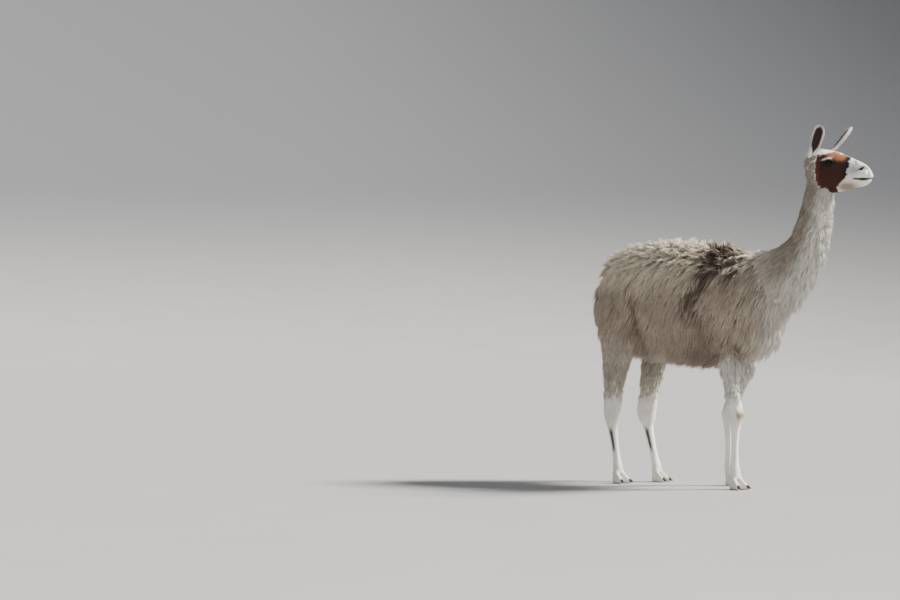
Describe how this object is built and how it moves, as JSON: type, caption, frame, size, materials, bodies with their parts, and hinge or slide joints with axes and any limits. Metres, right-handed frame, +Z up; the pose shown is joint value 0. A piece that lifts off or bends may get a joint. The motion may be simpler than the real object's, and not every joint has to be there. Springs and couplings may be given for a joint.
{
  "type": "llama",
  "caption": "Life-size standing llama, head up and ears raised, with a long fleece on body and neck and short hair on face and lower legs.",
  "frame": {"origin": "on the floor, under the centre of the whole animal's bounding box", "axes": "+X towards the nose, +Y towards the animal's left side, +Z up"},
  "size_m": [1.5002, 0.4882, 1.6302],
  "materials": {
    "fleece": "long cream fleece with a brown streak over the back",
    "short_hair": "short white hair",
    "face_hair": "short hair, white with a red-brown patch round the eye",
    "eye": "wet, near black",
    "nail": "dark horn"
  },
  "bodies": {
    "root": {"torso": "fleece", "neck_lower": "fleece", "neck_upper": "fleece", "tail": "fleece", "foreleg_right_upper": "fleece", "foreleg_left_upper": "fleece", "hindleg_right_upper": "fleece", "hindleg_left_upper": "fleece", "foreleg_right_lower": "short_hair", "foreleg_left_lower": "short_hair", "hindleg_right_lower": "short_hair", "hindleg_left_lower": "short_hair", "foreleg_right_toe_outer": "short_hair", "foreleg_right_toe_inner": "short_hair", "foreleg_left_toe_outer": "short_hair", "foreleg_left_toe_inner": "short_hair", "hindleg_right_toe_outer": "short_hair", "hindleg_right_toe_inner": "short_hair", "hindleg_left_toe_outer": "short_hair", "hindleg_left_toe_inner": "short_hair", "foreleg_right_nail_outer": "nail", "foreleg_right_nail_inner": "nail", "foreleg_left_nail_outer": "nail", "foreleg_left_nail_inner": "nail", "hindleg_right_nail_outer": "nail", "hindleg_right_nail_inner": "nail", "hindleg_left_nail_outer": "nail", "hindleg_left_nail_inner": "nail", "head": "face_hair", "ear_right": "short_hair", "ear_left": "short_hair", "eye_right": "eye", "eye_left": "eye"}
  },
  "joints": []
}
